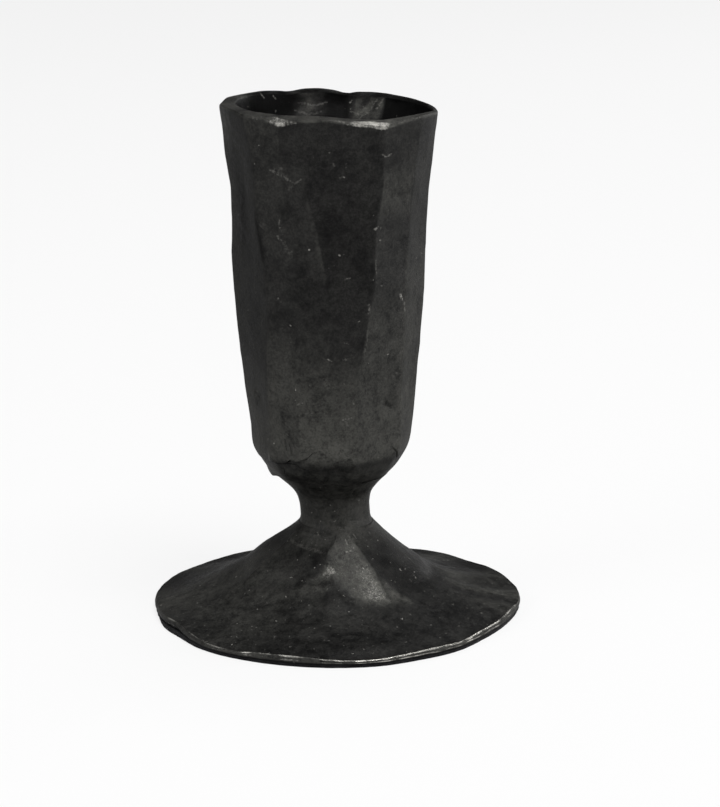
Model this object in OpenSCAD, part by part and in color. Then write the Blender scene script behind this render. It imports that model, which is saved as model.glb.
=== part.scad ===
// A small forged candlestick. A hammered socket and a waisted neck are riveted to a hammered foot.
// The origin is under the middle of the foot, on the surface that the candlestick stands on.
// Its front faces -Y, and angles round it are counted from the front towards +X.

/* [Socket] */
// Height of the socket, from its drawn-in bottom to the highest point of the rim
socket_h = 56.3; // [53:0.1:66]
// Diameter of the straight bore that grips the candle, which the socket's other diameters follow
bore_d = 22.5; // [19:0.1:26]
// Length of the straight bore
bore_h = 20; // [12:0.5:24]
// Height of the bottom of the straight bore above the bottom of the socket
bore_start_h = 22; // [20:0.5:27]
// How much wider the mouth is than the bore, on each side
mouth_flare_w = 2.55; // [1:0.05:2.9]
// How much narrower the chamber is at the floor than the bore, on each side
chamber_taper_w = 2.85; // [1.5:0.05:3.2]
// Thickness of the socket's floor
floor_t = 2.4; // [1.8:0.1:3]
// Thickness of the wall at the ridges, at the rim
rim_t = 2.55; // [2.3:0.05:4]
// Thickness of the wall at the ridges, at the narrowest part below the flare
body_t = 3.25; // [3:0.05:4]
// Height of that part above the bottom
body_h = 36; // [33:0.5:42]
// Thickness of the wall at the ridges, at the heel, where the body turns in towards the neck
heel_t = 3.5; // [3.2:0.05:4]
// Height of the heel above the bottom
heel_h = 4; // [3.6:0.1:5]
// How far the bottom is drawn in from the heel, on each side
heel_draw_w = 2.8; // [2:0.1:3.2]
// How far the rim and the bore stand to the left of the foot's middle
socket_offset = 1.15; // [0:0.05:1.6]
// How far the heel stands to the left of the foot's middle
heel_offset = 0.9; // [0:0.05:1.6]
// How far the rim dips at each ridge
rim_dip_h = 1; // [0:0.05:1.4]
// How much lower the rim is on the right than on the left
rim_tilt_h = 0.8; // [0:0.05:1.5]
// Height of the bevel round the rim
rim_bevel_h = 0.3; // [0.2:0.05:1]
// Width of the bevel round the rim
rim_bevel_w = 1; // [0.4:0.05:1.2]

/* [Seat plate] */
// Thickness of the round plate that lies on the socket's floor
plate_t = 1.4; // [0.8:0.1:2]
// Gap between the plate's edge and the wall of the chamber
plate_gap = 0.2; // [0.1:0.05:0.5]
// Chamfer round the plate
plate_chamfer = 0.3; // [0.1:0.05:0.5]

/* [Neck] */
// Height of the neck, from the foot's crown to the socket
neck_h = 7.8; // [7:0.1:10]
// Diameter of the neck where it stands on the foot
neck_foot_d = 10.9; // [10.6:0.1:11]
// Diameter of the waist
waist_d = 10.5; // [9:0.1:10.6]
// Height of the waist above the foot's crown
waist_h = 2.5; // [1.5:0.1:3.5]
// How far the top of the neck lies inside the socket's drawn-in bottom, on each side
neck_step_w = 0.5; // [0.4:0.1:1.6]

/* [Foot] */
// Diameter of the foot
foot_d = 56.2; // [52:0.1:66]
// Height of the foot's crown above the pad
foot_h = 13.7; // [12:0.1:16]
// Diameter of the flat crown that the neck stands on
crown_d = 11; // [11:0.1:12]
// Thickness of the foot under its hammered faces
foot_t = 1.4; // [1.2:0.1:2]
// Thickness of the foot at its edge
edge_t = 1.2; // [1:0.1:1.6]
// Width of the flat land under the edge
land_w = 3.2; // [2:0.1:4.5]
// How far the faces of the cone stand to the left
cone_offset = 1.1; // [0:0.05:1.6]
// Height of the ripples along the edge
ripple_h = 0.25; // [0:0.05:0.4]
// Depth of the deepest flat that is hammered into the edge
edge_flat_depth = 1.3; // [0:0.05:1.6]

/* [Rivet and washer] */
// Diameter of the rivet's shank
rivet_d = 4.4; // [3:0.1:5]
// Gap between the shank and the holes it passes through
rivet_gap = 0.1; // [0.05:0.05:0.2]
// Diameter of the head inside the socket
head_d = 8; // [7:0.1:9]
// Height of the head inside the socket
head_h = 1.7; // [1:0.1:2]
// Diameter of the peened head under the foot
peen_d = 7; // [6.4:0.1:7.4]
// Height of the peened head under the foot
peen_h = 1.5; // [1:0.1:2]
// Diameter of the washer under the foot's crown
washer_d = 9.4; // [8.4:0.1:10]
// Thickness of the washer
washer_t = 1; // [0.6:0.1:1.4]
// Chamfer round the washer
washer_chamfer = 0.25; // [0.1:0.05:0.3]
// How far the rivet stands to the left of the foot's middle
stem_offset = 0.3; // [0:0.05:1]

/* [Felt ring] */
// Thickness of the felt ring under the foot
pad_t = 0.5; // [0.4:0.1:1.5]
// How far the felt lies inside the foot's edge
pad_inset = 0.1; // [0:0.1:0.8]

/* [Hidden] */
$fn = 96;
cut_over = 1;

chamber_d = bore_d - 2 * chamber_taper_w;
mouth_d = bore_d + 2 * mouth_flare_w;
rim_d = mouth_d + 2 * rim_t;
body_d = bore_d + 2 * body_t;
heel_d = chamber_d + 2 * heel_t;
throat_d = heel_d - 2 * heel_draw_w;
neck_top_d = throat_d - 2 * neck_step_w;

foot_z = pad_t;
neck_z = foot_z + foot_h;
socket_z = neck_z + neck_h;
top_z = socket_z + socket_h;
floor_z = socket_z + floor_t;
bore_z = socket_z + bore_start_h;
washer_z = neck_z - foot_t - washer_t;
hole_d = rivet_d + 2 * rivet_gap;

// Angles of the twelve ridges of the socket at its rim, at half height and at its heel
rim_ridges = [-49, -26, 0, 31, 58, 86, 113, 141, 170, 203, 236, 272];
body_ridges = [-40, -21, -2, 28, 55, 84, 112, 140, 170, 203, 238, 276];
heel_ridges = [-45, -21, -1, 18, 58, 86, 114, 142, 172, 203, 237, 275];
// Radius of each ridge as a share of the radius over the ridges
ridge_shares = [1, 0.985, 0.99, 0.99, 0.97, 0.985, 0.985, 0.995, 0.98, 0.99, 0.99, 0.985];
// Share of the dip that the rim has at each ridge, where a share below zero rises
dip_shares = [0.2, 0.5, -0.5, 0.9, 0, 0.2, 0, 0, 0.4, 0.35, 0, 0.4];
// Share of that dip which is left at the inner edge of the bevel
inner_dip_share = 0.25;
// Heights of the hammered bands: from the heel to the body, and from the body to the rim
low_band_shares = [0, 0.14, 0.32, 0.55, 0.78];
high_band_shares = [0, 0.38, 0.7, 1];
socket_flatness = 0.8;
flare_power = 1.7;
panel_steps = 3;

// Angles of the eight ridges of the foot, and the radius of each as a share
foot_ridges = [-61, -10, 30, 84, 122, 165, 208, 256];
foot_ridge_shares = [1.02, 0.98, 1.03, 1.04, 1, 0.98, 1, 1.02];
foot_band_shares = [0, 0.07, 0.16, 0.27, 0.4, 0.54, 0.68, 0.82, 0.93, 1];
foot_steps = 6;
foot_flatness = 0.75;
slope_power = 1.8;
ripple_count = 13;
// Flats that are hammered into the foot's edge: the angle of the middle and half the angle of the width
edge_flat_angles = [[-70, 20], [26, 18], [60, 32], [126, 24], [232, 24]];
// Depth of each flat as a share of the deepest one
edge_flat_shares = [0.3, 0.45, 1, 0.3, 0.3];

// Angles of the eight faint ridges of the neck
neck_ridges = [-70, -25, 22, 68, 110, 156, 204, 250];
neck_band_shares = [0.2, 0.45, 0.7, 0.88, 1];
neck_steps = 3;
neck_flatness = 0.25;
trumpet_power = 1.8;

// The value at a part of the way from a to b
function blend(a, b, part) = a + (b - a) * part;

// Width of the panel that starts at a ridge
function panel_width(ridges, i) =
    i + 1 < len(ridges) ? ridges[i + 1] - ridges[i] : ridges[0] + 360 - ridges[i];

// Radius across a flat panel, as a share of the radius at its ridges
function chord_share(width, part) = cos(width / 2) / cos(width * (part - 1 / 2));

// One ring: [angle, share of the ring's radius, place across the panel, number of the panel]
function ring_plan(ridges, shares, steps, flatness) = [
    for (i = [0:len(ridges) - 1], s = [0:steps - 1])
        let (width = panel_width(ridges, i), part = s / steps, next = (i + 1) % len(ridges))
        [ridges[i] + width * part,
         blend(shares[i], shares[next], part) * (1 - flatness * (1 - chord_share(width, part))),
         part,
         i]
];

function at_angle(angle, r, x, z) = [x + r * sin(angle), -r * cos(angle), z];

// A closed solid through rings of points, from the lowest ring to the highest
module skin(rings) {
    n = len(rings[0]);
    top = len(rings) - 1;
    low_mid = len(rings) * n;
    points = concat([for (ring = rings) each ring], [middle(rings[0]), middle(rings[top])]);
    sides = [
        for (j = [0:top - 1], i = [0:n - 1])
            let (a = j * n + i, b = j * n + (i + 1) % n)
            each [[a, a + n, b + n], [a, b + n, b]]
    ];
    low_cap = [for (i = [0:n - 1]) [low_mid, i, (i + 1) % n]];
    high_cap = [for (i = [0:n - 1]) [low_mid + 1, top * n + (i + 1) % n, top * n + i]];
    polyhedron(points, concat(sides, low_cap, high_cap));
}

function middle(ring) = [for (axis = [0:2]) sum([for (p = ring) p[axis]]) / len(ring)];
function sum(list, i = 0) = i < len(list) ? list[i] + sum(list, i + 1) : 0;

// Radius over the socket's ridges at a height above its bottom
function socket_r(h) =
    h < heel_h ? blend(throat_d, heel_d, h / heel_h) / 2
    : h < body_h ? blend(heel_d, body_d, sin(90 * (h - heel_h) / (body_h - heel_h))) / 2
    : blend(body_d, rim_d, pow((h - body_h) / (socket_h - body_h), flare_power)) / 2;

// Angles of the ridges at a height above the bottom
function socket_ridges(h) =
    let (half = socket_h / 2)
    h < half
        ? [for (i = [0:len(rim_ridges) - 1]) blend(heel_ridges[i], body_ridges[i], h / half)]
        : [for (i = [0:len(rim_ridges) - 1]) blend(body_ridges[i], rim_ridges[i], (h - half) / half)];

function socket_plan(h) = ring_plan(socket_ridges(h), ridge_shares, panel_steps, socket_flatness);

function socket_x(h) = -blend(heel_offset, socket_offset, h / socket_h);

function socket_ring(h) = [
    for (p = socket_plan(h)) at_angle(p[0], socket_r(h) * p[1], socket_x(h), socket_z + h)
];

// One edge of the rim, with all of its dips or a share of them
function rim_ring(inset, drop, dip_share) = [
    for (p = socket_plan(socket_h))
        let (
            next = (p[3] + 1) % len(dip_shares),
            dip = rim_dip_h * dip_share * blend(dip_shares[p[3]], dip_shares[next], p[2]),
            tilt = rim_tilt_h * (1 + sin(p[0])) / 2
        )
        at_angle(p[0], rim_d / 2 * p[1] - inset, -socket_offset, top_z - drop - dip - tilt)
];

module socket() {
    low = [for (share = low_band_shares) blend(heel_h, body_h, share)];
    high = [for (share = high_band_shares) blend(body_h, socket_h, share)];
    mouth_h = socket_h - bore_start_h - bore_h;
    flare = mouth_flare_w * (mouth_h + cut_over) / mouth_h;
    color([0.16, 0.16, 0.15])
    difference() {
        skin(concat(
            [socket_ring(0)],
            [for (h = low) socket_ring(h)],
            [for (i = [0:len(high) - 2]) socket_ring(high[i])],
            [rim_ring(0, rim_bevel_h, 1), rim_ring(rim_bevel_w, 0, inner_dip_share)]
        ));
        translate([-socket_offset, 0, 0])
        rotate_extrude()
        polygon([
            [0, floor_z],
            [chamber_d / 2, floor_z],
            [bore_d / 2, bore_z],
            [bore_d / 2, bore_z + bore_h],
            [bore_d / 2 + flare, top_z + cut_over],
            [0, top_z + cut_over]
        ]);
        rivet_hole(socket_z, floor_t);
    }
}

// The hole that the rivet's shank passes through, in a layer of the stack
module rivet_hole(z, t) {
    translate([-stem_offset, 0, z - cut_over])
    cylinder(h = t + 2 * cut_over, d = hole_d);
}

// A disc with a chamfer round its upper and lower edge
module chamfered_disc(d, t, chamfer) {
    rotate_extrude()
    polygon([
        [0, 0],
        [d / 2 - chamfer, 0],
        [d / 2, chamfer],
        [d / 2, t - chamfer],
        [d / 2 - chamfer, t],
        [0, t]
    ]);
}

module seat_plate() {
    color([0.2, 0.2, 0.19])
    difference() {
        translate([-socket_offset, 0, floor_z])
        chamfered_disc(chamber_d - 2 * plate_gap, plate_t, plate_chamfer);
        rivet_hole(floor_z, plate_t);
    }
}

// Radius of the neck at a height above the foot's crown
function neck_r(h) =
    h < waist_h ? blend(neck_foot_d, waist_d, sin(90 * h / waist_h)) / 2
    : blend(waist_d, neck_top_d, pow((h - waist_h) / (neck_h - waist_h), trumpet_power)) / 2;

function neck_x(h) = -blend(stem_offset, heel_offset, h / neck_h);

function neck_ring(h) = [
    for (p = ring_plan(neck_ridges, [for (a = neck_ridges) 1], neck_steps, neck_flatness))
        at_angle(p[0], neck_r(h) * p[1], neck_x(h), neck_z + h)
];

module neck() {
    color([0.14, 0.14, 0.13])
    difference() {
        skin(concat(
            [neck_ring(0), neck_ring(waist_h / 2), neck_ring(waist_h)],
            [for (share = neck_band_shares) neck_ring(blend(waist_h, neck_h, share))]
        ));
        rivet_hole(neck_z, neck_h);
    }
}

// Height of the foot's upper face above the pad, and the radius there, for a share of its slope
function foot_top(share) = edge_t + (foot_h - edge_t) * pow(1 - share, slope_power);
function foot_r(share) = blend(crown_d, foot_d, share) / 2;

// How far the foot's edge is hammered in at an angle
function edge_cut(angle) =
    edge_flat_depth * max([
        for (i = [0:len(edge_flat_shares) - 1])
            let (middle_angle = edge_flat_angles[i][0], half_angle = edge_flat_angles[i][1])
            edge_flat_shares[i] * pow(cos(90 * min(1, abs(angle - middle_angle) / half_angle)), 2)
    ]);

// A point of the foot's upper face, or of its underside when it is lowered by the thickness
function foot_point(p, share, lower) =
    let (
        facet = 1 - (1 - p[1]) * pow(cos(90 * share), 1 / 2),
        hammered = ripple_h * (share + sin(ripple_count * p[0]) * pow(share, 2)) / 2
    )
    at_angle(
        p[0],
        foot_r(share) * facet - edge_cut(p[0]) * pow(share, 6),
        -stem_offset * (1 - share) - cone_offset * sin(180 * share),
        foot_z + max(0, foot_top(share) - hammered - lower)
    );

function foot_ring(share, lower) = [
    for (p = ring_plan(foot_ridges, foot_ridge_shares, foot_steps, foot_flatness))
        foot_point(p, share, lower)
];

// The same ring of points, moved to a height
function level(ring, z) = [for (p = ring) [p[0], p[1], z]];

module foot() {
    bands = [for (i = [len(foot_band_shares) - 1:-1:0]) foot_band_shares[i]];
    // Share of the slope at which the land under the edge ends and the hollow starts
    land_share = 1 - 2 * land_w / (foot_d - crown_d);
    color([0.15, 0.15, 0.14])
    difference() {
        skin(concat(
            [level(foot_ring(1, 0), foot_z)],
            [for (share = bands) foot_ring(share, 0)]
        ));
        skin(concat(
            [level(foot_ring(land_share, foot_t), foot_z - cut_over)],
            [foot_ring(land_share, foot_t)],
            [for (share = bands) if (share < land_share) foot_ring(share, foot_t)]
        ));
        rivet_hole(washer_z + washer_t, foot_t);
    }
}

// A domed head that stands on z = 0
module dome(d, h) {
    ball_r = (d * d / 4 + h * h) / (2 * h);
    intersection() {
        translate([0, 0, h - ball_r])
        sphere(r = ball_r);
        cylinder(h = h, d = d);
    }
}

module rivet() {
    shank_h = floor_z + plate_t - washer_z;
    color([0.2, 0.19, 0.18])
    translate([-stem_offset, 0, washer_z])
    union() {
        cylinder(h = shank_h, d = rivet_d);
        translate([0, 0, shank_h])
        dome(head_d, head_h);
        mirror([0, 0, 1])
        dome(peen_d, peen_h);
    }
}

module rivet_washer() {
    color([0.24, 0.23, 0.22])
    difference() {
        translate([-stem_offset, 0, washer_z])
        chamfered_disc(washer_d, washer_t, washer_chamfer);
        rivet_hole(washer_z, washer_t);
    }
}

module base_pad() {
    outline = [
        for (p = foot_ring(1, 0))
            [p[0], p[1]] * (1 - 2 * pad_inset / foot_d)
    ];
    color([0.05, 0.05, 0.05])
    difference() {
        linear_extrude(pad_t)
        polygon(outline);
        translate([0, 0, -cut_over])
        cylinder(h = pad_t + 2 * cut_over, d = foot_d - 2 * land_w);
    }
}

socket();
seat_plate();
neck();
foot();
rivet();
rivet_washer();
base_pad();
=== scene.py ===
import functools
import math

import bmesh
import bpy
from mathutils import Matrix, Vector, noise


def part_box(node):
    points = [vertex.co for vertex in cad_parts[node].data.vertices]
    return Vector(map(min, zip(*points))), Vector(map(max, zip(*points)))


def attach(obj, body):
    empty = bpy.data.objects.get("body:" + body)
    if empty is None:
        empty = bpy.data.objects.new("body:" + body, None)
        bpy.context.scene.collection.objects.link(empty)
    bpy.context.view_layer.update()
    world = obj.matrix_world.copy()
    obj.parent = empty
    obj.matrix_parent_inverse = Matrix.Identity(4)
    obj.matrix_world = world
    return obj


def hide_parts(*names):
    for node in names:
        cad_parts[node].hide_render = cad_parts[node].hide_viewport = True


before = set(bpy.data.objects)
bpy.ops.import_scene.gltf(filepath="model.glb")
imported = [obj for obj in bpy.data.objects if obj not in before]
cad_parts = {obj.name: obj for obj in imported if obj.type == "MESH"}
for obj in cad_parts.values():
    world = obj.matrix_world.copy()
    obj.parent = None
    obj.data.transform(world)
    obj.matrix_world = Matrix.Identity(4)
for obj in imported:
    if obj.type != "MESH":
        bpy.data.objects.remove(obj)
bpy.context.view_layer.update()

MM = 0.001
SHARP = math.radians(50)


def levels_of(node_name):
    """The lowest and the highest level of a CAD node."""
    low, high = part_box(node_name)
    return round(low[2] / MM, 2), round(high[2] / MM, 2)


def radius_of(node_name):
    """The radius of a round CAD node where it is widest."""
    low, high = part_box(node_name)
    return round((high[1] - low[1]) / 2 / MM, 1)


def shift_of(node_name):
    """How far the middle of a round CAD node stands to the right."""
    low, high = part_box(node_name)
    return round((low[0] + high[0]) / 2 / MM, 2)


TABLE, PAD_TOP = levels_of("base_pad")
FOOT_LOW, CROWN_Z = levels_of("foot")
NECK_LOW, BOTTOM = levels_of("neck")
SEAT_LOW, SEAT_TOP = levels_of("seat_plate")
WASHER_LOW, WASHER_TOP = levels_of("rivet_washer")
PEEN_LOW, HEAD_TOP = levels_of("rivet")
# The rivet's hole, and how far it and the bore stand to the right of the middle
HOLE_R, RIVET_SHIFT, BORE_SHIFT = 2.3, shift_of("rivet"), shift_of("seat_plate")


# Reading tables

def blend(a, b, part):
    return a + (b - a) * part


def ease(low, high, value):
    """0 below low, 1 above high, and smooth between them."""
    part = min(max((value - low) / (high - low), 0.0), 1.0)
    return part * part * (3 - 2 * part)


def bump(distance, width):
    """1 where the distance is 0, and 0 from the width on."""
    return 1 - ease(0, width, abs(distance))


def fade(low, high, value):
    """1 below low, 0 above high, and smooth between them."""
    return 1 - ease(low, high, value)


def around(angle, middle):
    """The angle from the middle, between -180 and 180."""
    return (angle - middle + 180) % 360 - 180


def sector(angle, middle, spread):
    """1 at the middle angle, and 0 from the spread on."""
    return bump(around(angle, middle), spread)


ALL_ROUND, FROM_START, TO_END = (0, math.inf), (-2, -1), (98, 99)


def patchwork(rows, angle, place):
    """The sum of soft patches at an angle, and at a height or radius.

    Each row is an amount, (middle angle, spread), (where it starts, where it is full) and (where it
    starts to fade, where it ends).
    """
    return sum(amount * sector(angle, middle, spread) * ease(start, full, place) * fade(high, end, place)
               for amount, (middle, spread), (start, full), (high, end) in rows)


def curve(rows, soft):
    """A reading of (place, value) rows, with corners softened over a width."""

    def straight(place):
        for (a, low), (b, high) in zip(rows, rows[1:]):
            if place <= b:
                return blend(low, high, max(0.0, (place - a) / (b - a)))
        return rows[-1][1]

    start, step = rows[0][0], soft / 4
    count = int((rows[-1][0] - start) / step) + 1
    fine = [sum(straight(start + step * i + soft * k / 6) for k in range(-3, 4)) / 7
            for i in range(count + 2)]

    def read(place):
        x = min(max((place - start) / step, 0.0), float(count))
        i = int(x)
        return blend(fine[i], fine[i + 1], x - i)

    return read


def ring(rows, soft):
    """A reading of (angle, value) rows that goes all the way round."""
    return curve([(angle + turn, value) for turn in (-360, 0, 360) for angle, value in rows], soft)


# Modelling

def turned(outline, steps, names, closed=True):
    """An outline turned once round the z axis, from the front to the right.

    An open outline starts and ends on the axis. Each row is (radius, height, cuts up to the next
    row, values). The values are kept on the vertices in layers with the given names, and are shared
    out evenly along the cuts.
    """
    bm = bmesh.new()
    layers = [bm.verts.layers.float.new(name) for name in names]
    corners = []
    for radius, height, cuts, values in outline:
        corner = bm.verts.new((0, -radius * MM, height * MM))
        for layer, value in zip(layers, values):
            corner[layer] = value
        corners.append(corner)
    edges = [(bm.edges.new((corners[i], corners[(i + 1) % len(corners)])), outline[i][2])
             for i in range(len(corners) - (not closed))]
    for edge, cuts in edges:
        if cuts:
            bmesh.ops.subdivide_edges(bm, edges=[edge], cuts=cuts)
    # An eighth of a turn is spun, and then doubled three times
    eighth = math.pi / 4
    bmesh.ops.spin(bm, geom=bm.verts[:] + bm.edges[:], cent=(0, 0, 0), axis=(0, 0, 1), dvec=(0, 0, 0),
                   angle=eighth, steps=steps // 8)
    for eighths in (1, 2, 4):
        copy = bmesh.ops.duplicate(bm, geom=bm.verts[:] + bm.edges[:] + bm.faces[:])["geom"]
        bmesh.ops.rotate(bm, verts=[v for v in copy if isinstance(v, bmesh.types.BMVert)], cent=(0, 0, 0),
                         matrix=Matrix.Rotation(eighths * eighth, 3, "Z"))
    bmesh.ops.remove_doubles(bm, verts=bm.verts, dist=1e-6)
    return bm, layers


def turn_of(vertex):
    """The angle of a vertex round the z axis, from 0 to 360."""
    return math.degrees(math.atan2(vertex.co.x, -vertex.co.y)) % 360


def at_angle(angle, radius, shift, height):
    a = math.radians(angle)
    return Vector((shift + radius * math.sin(a), -radius * math.cos(a), height))


def shaped(bm, layers, place_of):
    """Moves every vertex to its place, and paints its worn metal and painted highlights, and its dust and
    painted light and shade.
    """
    wear_and_painted_highlight, dust_and_painted_shading = bm.verts.layers.float.new("wear_and_painted_highlight"), bm.verts.layers.float.new("dust_and_painted_shading")
    for v in bm.verts:
        place, v[wear_and_painted_highlight], v[dust_and_painted_shading] = place_of(turn_of(v), *[v[layer] for layer in layers])
        v.co = place * MM


def evenly_worn(bm, amount, dust=0.1):
    wear_and_painted_highlight, dust_and_painted_shading = bm.verts.layers.float.new("wear_and_painted_highlight"), bm.verts.layers.float.new("dust_and_painted_shading")
    for v in bm.verts:
        v[wear_and_painted_highlight] = amount
        v[dust_and_painted_shading] = dust


def grain(place, size, seed):
    """Smooth noise from -1 to 1 with lumps of about the given size in millimetres."""
    return noise.noise(place / size + Vector((seed * 7.3, seed * 3.1, seed * 5.7)))


def hammered(place, size, seed):
    """Shallow round dishes of about the given size, deepest (-1) in the middle of each."""
    near = noise.voronoi(place / size + Vector((seed * 4.7, seed * 9.1, seed * 2.3)))[0]
    return min(1.0, 1.6 * near[0] * near[0] / max(near[1], 1e-6)) - 1


def linked(name, data):
    made = bpy.data.objects.new(name, data)
    bpy.context.scene.collection.objects.link(made)
    return made


def mesh_of(name, bm, material):
    mesh = bpy.data.meshes.new(name)
    bm.to_mesh(mesh)
    bm.free()
    mesh.materials.append(material)
    return mesh


def finish(name, bm, material, node_name, sharp=SHARP):
    """Makes an object of the mesh, puts it in the place of a CAD node and gives it its material."""
    bmesh.ops.recalc_face_normals(bm, faces=bm.faces)
    for face in bm.faces:
        face.smooth = True
    for edge in bm.edges:
        edge.smooth = edge.calc_face_angle(0) < sharp
    mesh = mesh_of(name, bm, material)
    # The layers that only served to place the vertices
    for layer in [a.name for a in mesh.attributes]:
        if layer in ("reach", "side", "level", "share", "up"):
            mesh.attributes.remove(mesh.attributes[layer])
    piece = linked(name, mesh)
    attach(piece, "root")
    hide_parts(node_name)
    return piece


# Materials

def new_group(name, values, outputs):
    """A node group that reads a place and some values, and puts out other values."""
    group = bpy.data.node_groups.new(name, "ShaderNodeTree")
    group.interface.new_socket("Place", in_out="INPUT", socket_type="NodeSocketVector")
    for label, value in values.items():
        group.interface.new_socket(label, in_out="INPUT", socket_type="NodeSocketFloat").default_value = value
    for label in outputs:
        group.interface.new_socket(label, in_out="OUTPUT", socket_type="NodeSocketFloat")
    return group, group.nodes.new("NodeGroupInput").outputs, group.nodes.new("NodeGroupOutput").inputs


def new_material(name):
    material = bpy.data.materials.new(name)
    material.use_nodes = True
    return material, material.node_tree, material.node_tree.nodes["Principled BSDF"].inputs


def node(tree, kind, inputs=(), **settings):
    """A node with its settings, whose inputs are numbers, colours or other nodes' outputs."""
    made = tree.nodes.new(kind)
    for key, value in settings.items():
        setattr(made, key, value)
    for key, value in dict(inputs).items():
        socket = made.inputs[key]
        if isinstance(value, bpy.types.NodeSocket):
            tree.links.new(value, socket)
        else:
            socket.default_value = value
    return made


def math_of(tree, operation, a, b=0.0, clamp=False):
    return node(tree, "ShaderNodeMath", {0: a, 1: b}, operation=operation, use_clamp=clamp).outputs[0]


def product(tree, a, b, clamp=False):
    return math_of(tree, "MULTIPLY", a, b, clamp)


def larger(tree, a, b):
    return math_of(tree, "MAXIMUM", a, b)


def total_of(tree, *terms):
    """The sum of (value, share) terms."""
    parts = [product(tree, value, share) for value, share in terms]
    return functools.reduce(lambda a, b: math_of(tree, "ADD", a, b), parts)


def vector_of(tree, operation, a, b, output="Vector"):
    return node(tree, "ShaderNodeVectorMath", {0: a, 1: b}, operation=operation).outputs[output]


def steps_of(tree, value, low, high, to_low=0.0, to_high=1.0):
    """Maps low..high to to_low..to_high, smoothly, and stays there outside."""
    return node(tree, "ShaderNodeMapRange", {"Value": value, "From Min": low, "From Max": high,
                                             "To Min": to_low, "To Max": to_high},
                interpolation_type="SMOOTHSTEP").outputs["Result"]


def noise_of(tree, place, scale, detail, roughness=0.5, distortion=0.0, output="Fac"):
    made = node(tree, "ShaderNodeTexNoise", {"Vector": place, "Scale": scale, "Detail": detail,
                                             "Roughness": roughness, "Distortion": distortion})
    return made.outputs[output]


def mix_of(tree, part, *colours):
    """The first colour where the part is 0, and the second where it is 1."""
    a, b = [(*colour, 1) if isinstance(colour, tuple) else colour for colour in colours]
    return node(tree, "ShaderNodeMix", {0: part, 6: a, 7: b}, data_type="RGBA").outputs[2]


def relief_of(tree, depth, height):
    made = node(tree, "ShaderNodeBump", {"Strength": 1.0, "Distance": depth * MM, "Height": height})
    return made.outputs["Normal"]


def forged_scale_group():
    """The skin of forged iron: wide blotches, cloudy scale, a fine grain, light specks and a height."""
    group, given, out = new_group(
        "forged_scale",
        {"Blotch": 190.0, "Cloud": 800.0, "Grain": 2600.0, "Specks": 1400.0, "Speck Share": 0.1},
        ["Blotch", "Cloud", "Fine", "Speck", "Height"])
    place = given["Place"]
    blotch = noise_of(group, place, given["Blotch"], 8.0, 0.72, 0.4)
    cloud = noise_of(group, place, given["Cloud"], 6.0, 0.8, 0.15)
    fine = noise_of(group, place, given["Grain"], 4.0, 0.8)
    # The specks are small dots with wobbly outlines, in a few of the cells of a Voronoi pattern
    wobble = noise_of(group, place, 2600.0, 2.0, output="Color")
    bent = vector_of(group, "ADD", place, vector_of(group, "MULTIPLY", wobble, (0.0007, 0.0007, 0.0007)))
    cells = node(group, "ShaderNodeTexVoronoi", {"Vector": bent, "Scale": given["Specks"]})
    pick = node(group, "ShaderNodeSeparateColor", {"Color": cells.outputs["Color"]}).outputs
    size = math_of(group, "ADD", product(group, pick["Green"], 0.16), 0.08)
    away = math_of(group, "DIVIDE", cells.outputs["Distance"], size)
    dot = math_of(group, "SUBTRACT", 1.0, away, clamp=True)
    rare = math_of(group, "SUBTRACT", math_of(group, "ADD", pick["Red"], given["Speck Share"]), 1.0)
    speck = product(group, steps_of(group, dot, 0.0, 0.5), steps_of(group, rare, 0.0, 0.06))
    speck = product(group, speck, steps_of(group, pick["Blue"], 0.0, 1.0, 0.3, 1.0))
    results = {
        "Blotch": steps_of(group, blotch, 0.36, 0.64), "Cloud": steps_of(group, cloud, 0.36, 0.64),
        "Fine": steps_of(group, fine, 0.3, 0.7), "Speck": speck,
        "Height": total_of(group, (fine, 0.45), (cloud, 1.1), (speck, 0.4)),
    }
    for label, value in results.items():
        group.links.new(value, out[label])
    return group


def rubbed_and_highlit_group():
    """Breaks an evenly painted value of worn metal and painted highlights into uneven bright streaks."""
    group, given, out = new_group("rubbed_and_highlit_edge", {"Wear And Highlight": 0.0, "Size": 2200.0}, ["Mask"])
    patches = noise_of(group, given["Place"], given["Size"], 6.0, 0.85)
    uneven = product(group, math_of(group, "SUBTRACT", patches, 0.5), 1.5)
    mask = steps_of(group, math_of(group, "ADD", given["Wear And Highlight"], uneven), 0.42, 0.95)
    gate = steps_of(group, given["Wear And Highlight"], 0.02, 0.2)
    group.links.new(product(group, mask, gate), out["Mask"])
    return group


SCALE_GROUP = forged_scale_group()
RUBBED_AND_HIGHLIT_GROUP = rubbed_and_highlit_group()


def strokes_on(tree, flat, lines):
    """A mask of thin strokes on a flat map in millimetres: (strength, half width, points)."""
    whole = None
    for strength, half, points in lines:
        for a, b in zip(points, points[1:]):
            start = Vector((*a, 0))
            along = Vector((*b, 0)) - start
            reached = vector_of(tree, "SUBTRACT", flat, start)
            part = vector_of(tree, "DOT_PRODUCT", reached, along / along.length_squared, "Value")
            part = larger(tree, math_of(tree, "MINIMUM", part, 1.0), 0.0)
            near = node(tree, "ShaderNodeVectorMath", {0: along, "Scale": part}, operation="SCALE").outputs[0]
            away = vector_of(tree, "DISTANCE", reached, near, "Value")
            line = steps_of(tree, away, half * 0.25, half, strength, 0.0)
            whole = line if whole is None else larger(tree, whole, line)
    return whole


# The radius and the middle of the map on which the scratches and cracks of the wall are placed
MARK_R, MARK_SHIFT = 14.0, 1.1


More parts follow.
